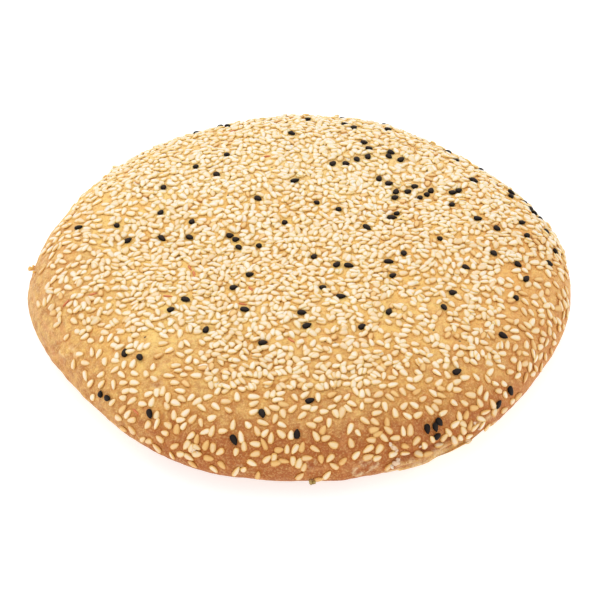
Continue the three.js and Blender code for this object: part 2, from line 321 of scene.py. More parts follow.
# Patches: how wide they are in millimetres, and what share of the scattered seeds is missing
# there, less than 0 where they lie thicker.
SEED_PATCHES = [
    (80,320,4,0.5), (157,330,4,0.5), (192,148,6,0.5), (270,167,4,0.6), (285,212,4,0.6), (405,166,5,0.5),
    (312,345,6,0.7), (328,358,6,0.7), (414,281,7,0.8), (386,298,5,0.8), (398,318,4,0.7), (440,326,5,0.8),
    (436,241,4,0.7), (473,205,4,0.5), (545,274,8,0.8), (538,296,5,0.7), (381,350,6,0.8), (410,340,4,0.7),
    (520,350,4,0.5), (480,345,4,0.4), (455,310,6,0.4), (420,300,10,0.5), (450,298,10,0.5), (392,322,8,0.4),
    (440,335,18,0.25), (505,365,16,0.35), (540,300,12,0.35), (225,352,7,0.3), (325,152,14,-0.4),
    (345,225,12,-0.3), (325,250,10,-0.5), (400,252,8,-0.4), (250,250,9,-0.3), (190,302,8,-0.4),
    (275,302,8,-0.5), (250,377,8,-0.5), (155,177,8,-0.3), (230,225,10,-0.3), (44,315,5,-0.5),
    (325,190,12,-0.3), (250,127,12,-0.3), (259,151,4,0.5), (261,183,4,0.5), (196,191,4,0.5), (290,126,4,0.4),
    (168,196,4,0.4), (247,214,4,0.4), (145,210,8,0.2), (212,255,6,0.3), (145,320,8,0.3), (330,300,7,0.3),
]

# Reddish husks and dark specks, turned as the black seeds are.
HUSKS = [
    (93,294,12), (168,296,-5), (190,268,-60), (194,274,-75), (251,289,-45), (243,304,-8), (291,340,-35),
    (66,303,50), (232,131,10), (433,146,25), (268,156,15), (136,412,-45),
]
SPECKS = [
    (335,343,10), (145,337,40), (228,195,80), (460,341,0), (434,330,30), (272,167,20), (166,144,10),
    (371,187,60), (415,288,0),
]

# Folds of skin on the crust: the pixels they run through, how high they stand in
# millimetres (less than 0 where they sink), how wide they are, and kind.
# Rolls get a painted highlight in the crust's colour, and creases painted shade.
FOLDS = [
    ([(398,464), (416,460), (432,453), (446,446), (457,441)], 0.9, 0.7, "roll"),
    ([(400,469), (420,464), (436,458), (450,450)], 0.7, 0.7, "roll"),
    ([(406,457), (424,450), (440,445), (452,438)], -1.0, 0.7, "crease"),
    ([(412,464), (430,457), (446,449), (455,444)], -0.6, 0.6, "crease"),
    ([(384,473), (405,468), (428,461), (446,453), (464,444), (480,435), (494,424)], 0.0, 1.2, "roll"),
    ([(440,455), (456,449), (466,444), (474,439), (484,432)], -1.5, 3.0, "plain"),
    ([(470,428), (484,420), (496,410)], 0.5, 0.9, "roll"),
    ([(60,352), (66,356), (70,348)], 0.35, 0.7, "roll"),
    ([(73,350), (77,357), (83,352)], 0.35, 0.7, "roll"),
]
SCARS = [(311,465), (365,463), (374,463), (358,471), (366,468), (240,470), (158,385)]
BARE_EDGE = [(86,186), (62,214), (46,240), (36,268), (32,300), (31,330)]  # with few seeds
BARE_WIDTH = 2.6
SCAR_RADIUS = 1.3
SCAR_HEIGHT = 0.22
SCAR_DEPTH = 0.3

# Crumbs of each kind: across and down, and size in millimetres.
CRUMBS = {
    "white": [
        (395,462,2), (391,465,1.6), (397,459,1.5), (392,467,1), (393,447,1.9), (390,444,1.4), (396,450,1.3),
        (195,449,1.1), (198,452,0.9), (192,451,0.9), (474,423,1), (478,428,1.1), (420,446,1),
    ],
    "yellow": [(32,270,2.2), (36,273,1.4), (34,267,1.2)],
    "olive": [(311,482,1.8), (314,482,1.6)],
}


# ---- The camera ----


def make_camera():
    data = bpy.data.cameras.new("camera")
    data.lens = CAMERA_LENS
    data.sensor_width = SENSOR_WIDTH
    camera = bpy.data.objects.new("camera", data)
    bpy.context.scene.collection.objects.link(camera)
    way = Vector((0, -math.cos(CAMERA_ELEVATION), math.sin(CAMERA_ELEVATION)))
    eye = Vector(CAMERA_TARGET) + CAMERA_DISTANCE * way
    camera.location = eye * MM
    camera.rotation_euler = (Vector(CAMERA_AIM) - eye).to_track_quat("-Z", "Y").to_euler()
    bpy.context.scene.camera = camera
    bpy.context.view_layer.update()
    return camera


class Photo:
    """The photograph, as the camera sees a crust whose points are in millimetres."""

    def __init__(self, camera, points, triangles):
        self.place = camera.location
        self.turn = camera.matrix_world.to_3x3()
        self.tree = BVHTree.FromPolygons(points.tolist(), triangles.tolist())

    def way(self, pixel):
        """The way from the camera to a pixel."""
        half = PHOTO_SIDE / 2
        wide = SENSOR_WIDTH / 2 / CAMERA_LENS
        seen = Vector(((pixel[0] - half) / half * wide, (half - pixel[1]) / half * wide, -1))
        return (self.turn @ seen).normalized()

    def spot(self, pixel):
        """The crust's point and normal at a pixel, or at the nearest one towards the bread's middle."""
        x, y = pixel
        for _ in range(NUDGES):
            spot, normal, _, _ = self.tree.ray_cast(self.place / MM, self.way((x, y)))
            if spot is not None:
                return np.array(spot), np.array(normal)
            step = Vector((PHOTO_MIDDLE[0] - x, PHOTO_MIDDLE[1] - y)).normalized()
            x, y = x + step.x, y + step.y
        raise ValueError(f"pixel {pixel} is off the bread")

    def along(self, pixel, turn, normal):
        """The way along the crust that looks turned by so many degrees from level."""
        heading = math.radians(turn)
        view = self.way(pixel)
        across = self.way((pixel[0] + math.cos(heading), pixel[1] - math.sin(heading))) - view
        across, view = np.array(across), np.array(view)
        return unit(across - view * (across @ normal) / (view @ normal))

    def pixels(self, points):
        """How far across and down points lie."""
        seen = (points - np.array(self.place) / MM) @ np.array(self.turn)
        scale = PHOTO_SIDE / 2 / (SENSOR_WIDTH / 2 / CAMERA_LENS) / -seen[:, 2]
        return PHOTO_SIDE / 2 + seen[:, 0] * scale, PHOTO_SIDE / 2 - seen[:, 1] * scale


# ---- Small helpers ----


def bell(x, spread):
    return np.exp(-((x / spread) ** 2))


def smoothstep(low, high, x):
    t = np.clip((x - low) / (high - low), 0, 1)
    return t * t * (3 - 2 * t)


def ramps(points, rows):
    """A ramp for each row, along an axis from 0 where it starts to its size where it is full."""
    return [size * smoothstep(start, full, points[:, axis]) for axis, start, full, size in rows]


def bell_round(turn, middle, spread):
    """A bell by how far a turn is from a middle, which is in degrees, as the spread is."""
    away = np.mod(turn - np.radians(middle) + np.pi, 2 * np.pi) - np.pi
    return bell(away, math.radians(spread))


def lumps(points, wavelength, octaves=2, start=0.0):
    """Smooth noise at points in millimetres, about -1 to 1."""
    scaled = points / wavelength + start
    return np.array([noise.fractal(p, 1.0, 2.0, octaves) for p in scaled.tolist()])


def unit(vectors):
    return vectors / np.maximum(np.linalg.norm(vectors, axis=-1, keepdims=True), 1e-12)


def vertex_normals(points, triangles):
    corners = points[triangles]
    faces = np.cross(corners[:, 1] - corners[:, 0], corners[:, 2] - corners[:, 0])
    normals = np.zeros_like(points)
    for corner in range(3):
        np.add.at(normals, triangles[:, corner], faces)
    return unit(normals)


def make_piece(name, points, triangles, attributes, material):
    """A smooth mesh piece from points in millimetres, riding on the bread's one body."""
    mesh = bpy.data.meshes.new(name)
    mesh.from_pydata((points * MM).tolist(), [], triangles.tolist(), shade_flat=False)
    for label, values in attributes.items():
        layer = mesh.attributes.new(label, "FLOAT", "POINT")
        layer.data.foreach_set("value", np.asarray(values, np.float32))
    mesh.materials.append(material)
    piece = bpy.data.objects.new(name, mesh)
    bpy.context.scene.collection.objects.link(piece)
    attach(piece, "root")
    return piece


# ---- The crust ----


def lobed(lobes, turn):
    return sum(size * np.cos(count * turn - math.radians(start)) for count, size, start in lobes)


def swell(x, y):
    total = 0
    for wavelength, heading, start, height in CROWN_SWELLS:
        along = x * math.cos(math.radians(heading)) + y * math.sin(math.radians(heading))
        total = total + height * np.sin(2 * math.pi * along / wavelength + math.radians(start))
    return total


def lip(turn, height):
    bells = (size * bell_round(turn, middle, spread) for middle, spread, size in BASE_LIPS)
    stands = bell(height - LIP_HEIGHT, LIP_THICKNESS)
    dips = bell(height - CREASE_HEIGHT, LIP_THICKNESS)
    return sum(bells) * (stands - CREASE_SHARE * dips)


def crust(turn, share):
    """Points of the crust. Share runs from 0 at the top to 1 at the rim and 2 at the base's edge."""
    rim = RIM_RADIUS * (1 + lobed(OUTLINE_LOBES, turn))
    widest = RIM_HEIGHT + lobed(RIM_HEIGHT_LOBES, turn)
    inner = np.minimum(share, 1)
    fall = np.sqrt(1 - inner**DOME_POWER)
    x, y = rim * inner * np.cos(turn), rim * inner * np.sin(turn)
    crown = widest + (CROWN_HEIGHT - widest) * fall + swell(x, y) * (1 - inner**SWELL_POWER)
    bend = (np.maximum(share, 1) - 1) * math.pi / 2
    height = np.where(share <= 1, crown, widest * (1 - np.sin(bend)))
    side = rim * (BASE_SHARE + (1 - BASE_SHARE) * np.cos(bend)) + lip(turn, height)
    radius = np.where(share <= 1, rim * inner, side)
    return np.stack([radius * np.cos(turn), radius * np.sin(turn), height], axis=-1)


def even_shares(shares, count):
    """Shares at even steps down the crust's profile, leaving out the first."""
    profile = crust(np.zeros_like(shares), shares)
    steps = np.linalg.norm(np.diff(profile, axis=0), axis=1)
    arc = np.concatenate([[0], np.cumsum(steps)])
    return np.interp(np.linspace(0, arc[-1], count + 1)[1:], arc, shares)


def joined(*corners):
    """Triangles, from the runs of their three corners."""
    return np.stack(corners, axis=1)


def disc_strip(outer, inner, size):
    """Triangles between a disc's ring of 6 size points and the next one in, by first index."""
    sector, step = np.meshgrid(np.arange(6), np.arange(size), indexing="ij")
    sector, step = sector.ravel(), step.ravel()
    here = outer + (sector * size + step) % (6 * size)
    after = outer + (sector * size + step + 1) % (6 * size)
    if size == 1:
        return joined(np.full(6, inner), here, after)
    ring = 6 * (size - 1)
    under = inner + (sector * (size - 1) + step) % ring
    beyond = inner + (sector * (size - 1) + step + 1) % ring
    return np.concatenate([joined(under, here, after), joined(under, after, beyond)[step < size - 1]])


def crust_mesh():
    """Points, triangles (facing out), turns and shares of the whole bread, base and all."""
    fine = np.linspace(0, 1, PROFILE_STEPS)
    crown = even_shares(1 - (1 - fine) ** 3, CROWN_RINGS)
    side = even_shares(1 + fine, SIDE_RINGS)
    turns, shares, triangles = [np.zeros(1)], [np.zeros(1)], []
    last, count = 0, 1
    for ring, share in enumerate(crown, start=1):
        turns.append(np.arange(6 * ring) * (math.pi / 3 / ring))
        shares.append(np.full(6 * ring, share))
        triangles.append(disc_strip(count, last, ring))
        last, count = count, count + 6 * ring
    around = 6 * CROWN_RINGS
    step = np.arange(around)
    for share in side:
        turns.append(step * (2 * math.pi / around))
        shares.append(np.full(around, share))
        upper, lower, after = last + step, count + step, count + (step + 1) % around
        beyond = last + (step + 1) % around
        triangles += [joined(upper, lower, after), joined(upper, after, beyond)]
        last, count = count, count + around
    points = crust(np.concatenate(turns), np.concatenate(shares))

    # The flat base: a strip that halves the points, then a disc.
    edge = points[last:count]
    half = np.arange(around // 2)
    outer, middle, after = (last + (2 * half + k) % around for k in range(3))
    inner, beyond = count + half, count + (half + 1) % len(half)
    strip = (outer, inner, middle), (middle, inner, beyond), (middle, beyond, after)
    triangles += [joined(*corners) for corners in strip]
    rings, first = [], count
    for ring in range(BASE_RINGS, 0, -1):
        turn = np.arange(6 * ring) * (math.pi / 3 / ring)
        reach = np.interp(turn, 2 * math.pi * step / around, np.hypot(edge[:, 0], edge[:, 1]))
        radius = reach * ring / (BASE_RINGS + 1)
        rings.append(np.stack([radius * np.cos(turn), radius * np.sin(turn), 0 * turn], axis=1))
        triangles.append(disc_strip(first, first + 6 * ring, ring)[:, ::-1])
        first += 6 * ring
    rings.append(np.zeros((1, 3)))
    base = np.concatenate(rings)
    points = np.concatenate([points, base])
    turns = np.concatenate(turns + [np.arctan2(base[:, 1], base[:, 0])])
    shares = np.concatenate(shares + [np.full(len(base), 2.0)])
    return points, np.concatenate(triangles), turns, shares


def crust_relief(points, turns, shares):
    """How far the crust stands out of its plain form: dough lumps, dimples, grain and rim wrinkles."""
    crown = 1 - smoothstep(1.7, 2.0, shares)
    relief = sum(height * lumps(points, wavelength, 2, start=start) for height, wavelength, start in RELIEF)
    return crown * relief + WRINKLE_HEIGHT * rim_wrinkles(points, turns, shares)


def rim_wrinkles(points, turns, shares):
    """Fine wrinkles that run round the left rim, about -1 to 1."""
    rim = bell(shares - 1.0, 0.2) * bell_round(turns, LEFT_RIM, 36)
    along = np.stack([points[:, 2] * 1.9, turns * 7, 0 * turns], axis=1)
    return rim * lumps(along, 2.6, 3, start=41.9)


def distance_to_run(points, run):
    """How far points are from a run of straight stretches."""
    nearest = np.full(len(points), np.inf)
    for start, end in zip(run, run[1:]):
        way = end - start
        share = np.clip((points - start) @ way / (way @ way), 0, 1)
        nearest = np.minimum(nearest, np.linalg.norm(points - start - share[:, None] * way, axis=1))
    return nearest


def fold_shares(points, photo):
    """How far the folds of skin stand out of the crust, and how near points are to creases and rolls."""
    relief = np.zeros(len(points))
    shares = {"crease": np.zeros(len(points)), "roll": np.zeros(len(points))}
    for pixels, height, width, kind in FOLDS:
        run = [photo.spot(pixel)[0] for pixel in pixels]
        near = bell(distance_to_run(points, run), width)
        relief += height * near
        if kind in shares:
            shares[kind] = np.maximum(shares[kind], near)
    return relief, shares["crease"], shares["roll"]


def scar_shares(points, photo):
    """How near points are to the hollows that lost seeds left, and to their rims."""
    hollow, rim = np.zeros(len(points)), np.zeros(len(points))
    for pixel in SCARS:
        away = np.linalg.norm(points - photo.spot(pixel)[0], axis=1)
        hollow = np.maximum(hollow, bell(away, 0.7 * SCAR_RADIUS))
        rim = np.maximum(rim, bell(away - SCAR_RADIUS, 0.35 * SCAR_RADIUS))
    return hollow, rim


# ---- Seeds ----


def ball_triangles(around, rings):
    """Triangles of a ball: rings of points between two poles, the first and the last point."""
    triangles = []
    for i in range(around):
        after = (i + 1) % around
        triangles.append((0, 1 + after, 1 + i))
        for a in range(1, 1 + (rings - 1) * around, around):
            b = a + around
            triangles += [(a + i, a + after, b + after), (a + i, b + after, b + i)]
        a = 1 + (rings - 1) * around
        triangles.append((a + i, a + after, 1 + rings * around))
    return np.array(triangles)


def seed_template():
    """A flat teardrop of unit length, width and thickness along Y, pointed at +Y."""
    points = [(0.0, -0.5, 0.0)]
    for ring in range(1, SEED_RINGS + 1):
        bend = math.pi * ring / (SEED_RINGS + 1)
        blunt = BLUNTNESS[bend >= math.pi / 2]
        size = 1.02 * math.sin(bend) ** blunt * (1 + SEED_TAPER * math.cos(bend))
        for turn in np.radians(SECTION_TURNS):
            points.append((0.5 * size * math.cos(turn), -0.5 * math.cos(bend), 0.5 * size * math.sin(turn)))
    points.append((0.0, 0.5, 0.0))
    return np.array(points), ball_triangles(len(SECTION_TURNS), SEED_RINGS)


def cells_round(key):
    """A grid's cell and the 26 round it."""
    return itertools.product(*((c - 1, c, c + 1) for c in key))


class Seeds:
    """Seeds lying on the crust and on each other, found by a grid of cells."""

    def __init__(self):
        self.rows = []
        self.cells = {}

    def key(self, point):
        return tuple(int(math.floor(c / SEED_CELL)) for c in point)

    def near(self, point):
        for key in cells_round(self.key(point)):
            yield from self.cells.get(key, ())

    def crowding(self, point, along, half):
        """How much a seed of half length and half width would lie over its neighbours."""
        total = 0.0
        for other in self.near(point):
            away = point - other["point"]
            distance = math.sqrt(away @ away)
            if distance < 1e-6:
                return 9.0
            share = (away @ along) / distance
            reach = math.sqrt((half[0] * share) ** 2 + half[1] ** 2 * (1 - share**2))
            u = (away @ other["along"]) / (other["half"][0] + reach)
            v = (away @ other["across"]) / (other["half"][1] + reach)
            overlap = max(0.0, 1 - math.sqrt(u * u + v * v))
            total += overlap * (CLEARANCE if other["kind"] in KEPT_CLEAR else 1)
        return total

    def top(self, point):
        """How high the seeds already there stand above the crust at a point of it."""
        height = 0.0
        for other in self.near(point):
            away = point - other["point"]
            u = (away @ other["along"]) / other["half"][0]
            v = (away @ other["across"]) / other["half"][1]
            inside = 1 - u * u - v * v
            if inside > 0:
                tilted = other["lift"] + other["pitch"] * u * other["half"][0]
                height = max(height, tilted + other["half"][2] * math.sqrt(inside))
        return height

    def add(self, kind, point, normal, along, size, draw):
        """Lays a seed down where it rests on the crust or on the seeds below it."""
        half = [side / 2 for side in size]
        across = np.cross(along, normal)
        ends = (TIP_REACH, -TIP_REACH, 0)
        tip, tail, middle = (self.top(point + reach * half[0] * along) for reach in ends)
        left, right = (self.top(point + reach * half[1] * across) for reach in (-SIDE_REACH, SIDE_REACH))
        pitch = 0.8 * (tip - tail) / (2 * TIP_REACH * half[0]) + draw.normal(0, WOBBLE[0])
        roll = 0.6 * (right - left) / (2 * SIDE_REACH * half[1]) + draw.normal(0, WOBBLE[1])
        pitch, roll = (max(-most, min(most, t)) for most, t in zip(STEEPEST, (pitch, roll)))
        rest = max(middle, (tip + tail) / 2, 0.8 * (left + right) / 2)
        lift = min(rest + (0.7 if rest > 0 else 1) * half[2], HIGHEST_LIFT) - SEED_SUNK
        row = {
            "kind": kind, "point": point, "normal": normal, "along": along, "across": across,
            "half": half, "pitch": pitch, "roll": roll, "lift": lift, "raised": rest > 0,
        }
        self.rows.append(row)
        self.cells.setdefault(self.key(point), []).append(row)
        return row


def seed_density(points, photo, bare, edge_run):
    """How thick the scattered seeds lie at points of the crust, as the photograph shows them."""
    x, y, z = points.T
    density = math.prod(1 - ramp for ramp in ramps(points, THINNED_SIDES))
    lowest = LOWEST_SEED + FRONT_RISE * smoothstep(*FRONT_SPAN, y)
    density *= smoothstep(lowest, lowest + SEED_FADE, z)
    turn, reach = np.arctan2(y, x), np.hypot(x, y) / RIM_RADIUS
    for middle, spread, share, start, full in BARE_RIMS:
        density *= 1 - share * smoothstep(start, full, reach) * bell_round(turn, middle, spread)
    thick = smoothstep(*THICK_REACH, np.hypot(x - THICK_SPOT[0], y - THICK_SPOT[1]))
    density *= 1 + THICK_SHARE * thick
    for spot, spread, share in bare:
        density *= 1 - share * bell(np.linalg.norm(points - spot, axis=1), spread)
    density *= 1 - bell(distance_to_run(points, edge_run), BARE_WIDTH)
    patchy = 1 + 0.2 * lumps(points, 9, 2, start=57.3)
    across, down = photo.pixels(points)
    edge_across, edge_down = zip(*FRONT_EDGE)
    in_front = down > np.interp(across, edge_across, edge_down)
    in_front &= (across > edge_across[0]) & (across < edge_across[-1]) & (y < NEAR_SIDE)
    (first, top), (last, bottom) = LEFT_ZONE
    at_left = (across > first) & (across < last) & (down > top) & (down < bottom)
    at_left &= (y < 0) | (z > RIM_HEIGHT)
    density *= np.where(at_left, np.interp(across, *zip(*LEFT_SHARES)), 1)
    return np.clip(density * patchy * ~in_front, 0, None)


def surface_points(points, triangles, normals, weights, count, draw):
    """Random points of a mesh, the normals there and ways along it, drawn by each triangle's weight."""
    picked = draw.choice(len(triangles), size=count, p=weights / weights.sum())
    mix = draw.dirichlet((1, 1, 1), size=count)
    corners = triangles[picked]
    spots = np.einsum("nk,nkd->nd", mix, points[corners])
    ups = unit(np.einsum("nk,nkd->nd", mix, normals[corners]))
    return spots, ups, unit(np.cross(ups, unit(draw.normal(size=(count, 3)))))


def seed_size(size, draw):
    return size * draw.normal(1, SIZE_SPREAD, 3).clip(*SIZE_LIMITS)


def lay_seeds(photo, points, triangles, normals, draw):
    seeds = Seeds()

    def lay(kind, x, y, turn, size):
        spot, normal = photo.spot((x, y))
        seeds.add(kind, spot, normal, photo.along((x, y), turn, normal), size, draw)

    for x, y, turn, share in BLACK_SEEDS:
        lay("black", x, y, turn, (share * BLACK_SIZE[0], *BLACK_SIZE[1:]))
    for kind, size, marks in (("husk", HUSK_SIZE, HUSKS), ("speck", SPECK_SIZE, SPECKS)):
        for mark in marks:
            lay(kind, *mark, size)
    apart = (APART_KINDS, FRONT_SEEDS), (LEFT_KINDS, LEFT_SEEDS), (("toasted",), BROWNER_SEEDS)
    for kinds, marks in apart:
        for mark in marks:
            size = seed_size(APART_SIZE, draw)
            lay(draw.choice(kinds), *mark, size)

    # The side that the photograph doesn't show has some black seeds too.
    corners = points[triangles]
    areas = np.linalg.norm(np.cross(corners[:, 1] - corners[:, 0], corners[:, 2] - corners[:, 0]), axis=1)
    middles = corners.mean(axis=1)
    hidden = smoothstep(40, 70, middles[:, 1]) * smoothstep(22, 17, middles[:, 2]) * (middles[:, 2] > 5)
    spots, ups, alongs = surface_points(points, triangles, normals, areas * hidden, HIDDEN_BLACK_COUNT, draw)
    for spot, normal, along in zip(spots, ups, alongs):
        seeds.add("black", spot, normal, along, seed_size(BLACK_SIZE, draw), draw)

    # Each scattered seed goes to the least crowded of a few places.
    bare = [(photo.spot((x, y))[0], wide, share) for x, y, wide, share in SEED_PATCHES]
    edge_run = [photo.spot(pixel)[0] for pixel in BARE_EDGE]
    weights = areas * seed_density(middles, photo, bare, edge_run)
    spots, ups, alongs = surface_points(points, triangles, normals, weights, SEED_TRIES * SEED_COUNT, draw)
    for first in range(0, SEED_TRIES * SEED_COUNT, SEED_TRIES):
        size = seed_size(SEED_SIZE, draw)
        half = (size[0] / 2, size[1] / 2)
        places = range(first, first + SEED_TRIES)
        best = min(places, key=lambda k: seeds.crowding(spots[k], alongs[k], half))
        kind = draw.choice(list(KIND_SHARES), p=list(KIND_SHARES.values()))
        seeds.add(kind, spots[best], ups[best], alongs[best], size, draw)
    return seeds.rows


def turned(row):
    """A seed's own axes (across, along, up), pitched and rolled."""
    along = unit(row["along"] + math.tan(row["pitch"]) * row["normal"])
    across = unit(row["across"] + math.tan(row["roll"]) * row["normal"])
    up = unit(np.cross(across, along))
    across = np.cross(along, up)
    return np.stack([across, along, up])


def make_copies(name, copies, faces, attributes, material):
    """A piece of many small copies of one form, with a run of each attribute's values for each."""
    starts = np.arange(len(copies))[:, None, None] * len(copies[0])
    triangles = (faces[None] + starts).reshape(-1, 3)
    values = {label: np.concatenate(runs) for label, runs in attributes.items()}
    make_piece(name, np.concatenate(copies), triangles, values, material)


def make_seeds(name, rows, material, draw):
    shape, faces = seed_template()
    girth = np.abs(shape[:, 0]) / np.maximum(np.hypot(shape[:, 0], shape[:, 2]), 1e-9)
    end = smoothstep(*EDGE_ENDS, np.abs(shape[:, 1]))
    # Painted shade: full underneath a seed, and rising over its sides and towards its ends.
    edge = np.where(shape[:, 2] < 0, 1, np.maximum(smoothstep(*EDGE_GIRTH, girth), end))
    tip = smoothstep(*TIP_ENDS, shape[:, 1])
    copies, tones = [], []
    for row in rows:
        size = 2 * np.array([row["half"][1], row["half"][0], row["half"][2]])
        bent = shape.copy()
        bent[:, 0] += draw.normal(0, BEND) * (shape[:, 1] * 2) ** 2
        middle = row["point"] + row["lift"] * row["normal"]
        copies.append((bent * size) @ turned(row) + middle)
        # A seed's tone follows the crust's browning, with its painted shade and light, plus a random share.
        tone = 0.9 * browning_with_painted_light(row["point"][None], np.ones(1))[0] + draw.normal(0.1, 0.12)
        tones.append(np.full(len(shape), min(1.0, max(0.0, tone))))
    attributes = {"tone": tones, "tip": [tip] * len(rows), "edge": [edge] * len(rows)}
    make_copies(name, copies, faces, attributes, material)


def dent_round_seeds(points, normals, rows):
    """Presses the crust down close round its seeds. Gives the new points and how near each is, which sets the
    painted contact shade on the crust round them.
    """
    grid = {}
    for index, key in enumerate(map(tuple, np.floor(points / DENT_CELL).astype(int))):
        grid.setdefault(key, []).append(index)
    sunk, near = np.zeros(len(points)), np.zeros(len(points))
    for row in rows:
        keys = cells_round(np.floor(row["point"] / DENT_CELL).astype(int))
        found = np.array([index for key in keys for index in grid.get(key, ())], int)
        away = points[found] - row["point"]
        reach = np.hypot(away @ row["along"] / row["half"][0], away @ row["across"] / row["half"][1])
        weight = RAISED_DENT if row["raised"] else 1.0
        sunk[found] = np.maximum(sunk[found], weight * DENT_DEPTH * smoothstep(1.75, 0.95, reach))
        near[found] = np.maximum(near[found], weight * smoothstep(1.7, 1.0, reach))
    return points - normals * sunk[:, None], near


# ---- Crumbs ----


def crumb_template():
    """A ball of unit width, by rings of points from pole to pole."""
    points = [(0.0, 0.0, -0.5)]
    for ring in range(1, CRUMB_RINGS + 1):
        bend = math.pi * ring / (CRUMB_RINGS + 1)
        for step in range(CRUMB_SIDES):
            turn = 2 * math.pi * step / CRUMB_SIDES
            flat = 0.5 * math.sin(bend)
            points.append((flat * math.cos(turn), flat * math.sin(turn), -0.5 * math.cos(bend)))
    points.append((0.0, 0.0, 0.5))
    return np.array(points), ball_triangles(CRUMB_SIDES, CRUMB_RINGS)


def make_crumbs(name, marks, photo, material, draw):
    """Uneven crumbs half sunk in the crust, each in a turn of its own."""
    shape, faces = crumb_template()
    copies, tones = [], []
    for x, y, size in marks:
        spot, normal = photo.spot((x, y))
        craggy = 1 + CRUMB_ROUGHNESS * lumps(shape + draw.uniform(0, 50, 3), 0.45, 2)
        own = np.linalg.qr(draw.normal(size=(3, 3)))[0]
        scale = size * np.array(CRUMB_SHAPE) * draw.uniform(0.85, 1.15, 3)
        copies.append((shape * craggy[:, None] * scale) @ own + spot + CRUMB_LIFT * size * normal)
        tones.append(np.full(len(shape), draw.uniform(0, 1)))
    make_copies(name, copies, faces, {"tone": tones}, material)


# ---- Materials ----


def srgb(red, green, blue):
    """A shader colour from the numbers 0 to 255 that a screen shows."""
    shares = (c / 255 for c in (red, green, blue))
    return (*(c / 12.92 if c <= 0.04 else ((c + 0.055) / 1.055) ** 2.4 for c in shares), 1)


class Shader:
    """A node material in the making: each method adds a node and gives its output."""

    def __init__(self, name):
        self.material = bpy.data.materials.new(name)
        self.material.use_nodes = True
        self.tree = self.material.node_tree
        self.place = self.node("TexCoord", "Object", {})

    def put(self, value, socket):
        if isinstance(value, bpy.types.NodeSocket):
            self.tree.links.new(value, socket)
        else:
            socket.default_value = value

    def node(self, kind, output, inputs, **settings):
        node = self.tree.nodes.new("ShaderNode" + kind)
        for label, value in settings.items():
            setattr(node, label, value)
        for label, value in inputs.items():
            self.put(value, node.inputs[label])
        return node.outputs[output]

    def attribute(self, label):
        return self.node("Attribute", "Fac", {}, attribute_name=label)

    def noise(self, wavelength, detail=2.0, roughness=0.5, shift=0.0):
        """Noise of a wavelength in millimetres, 0 to 1."""
        shifted = {0: self.place, 1: (shift * MM, 0.7 * shift * MM, 0.0)}
        place = self.node("VectorMath", 0, shifted, operation="ADD")
        inputs = {"Vector": place, "Scale": 1 / (wavelength * MM), "Detail": detail, "Roughness": roughness}
        return self.node("TexNoise", "Fac", inputs)

    def cells(self, wavelength):
        return self.node("TexVoronoi", "Distance", {"Vector": self.place, "Scale": 1 / (wavelength * MM)})

    def spread(self, value, low, high, to_low=0.0, to_high=1.0):
        """Maps low..high to to_low..to_high, held at the ends."""
        inputs = dict(enumerate((value, low, high, to_low, to_high)))
        return self.node("MapRange", "Result", inputs, interpolation_type="SMOOTHSTEP")

    def math(self, operation, first, second):
        return self.node("Math", 0, {0: first, 1: second}, operation=operation)

    def mix(self, share, first, second):
        return self.node("Mix", "Result", {"Factor": share, "A": first, "B": second}, data_type="RGBA")

    def blotches(self, colour, tint, noise, low, high, most=1.0):
        """A colour with blotches of a tint where noise is high."""
        return self.mix(self.spread(noise, low, high, 0, most), colour, tint)

    def tinted(self, colour, tint, label, share):
        """A colour with a share of a tint where an attribute is high."""
        return self.mix(self.math("MULTIPLY", self.attribute(label), share), colour, tint)

    def bump(self, height, depth, under=None):
        """A bump of a depth in millimetres, on another one if there is one under it."""
        inputs = {"Strength": 1.0, "Distance": depth * MM, "Height": height}
        if under is not None:
            inputs["Normal"] = under
        return self.node("Bump", "Normal", inputs)

    def finish(self, **inputs):
        surface = self.tree.nodes["Principled BSDF"]
        for label, value in inputs.items():
            self.put(value, surface.inputs[label.replace("_", " ")])
        return self.material


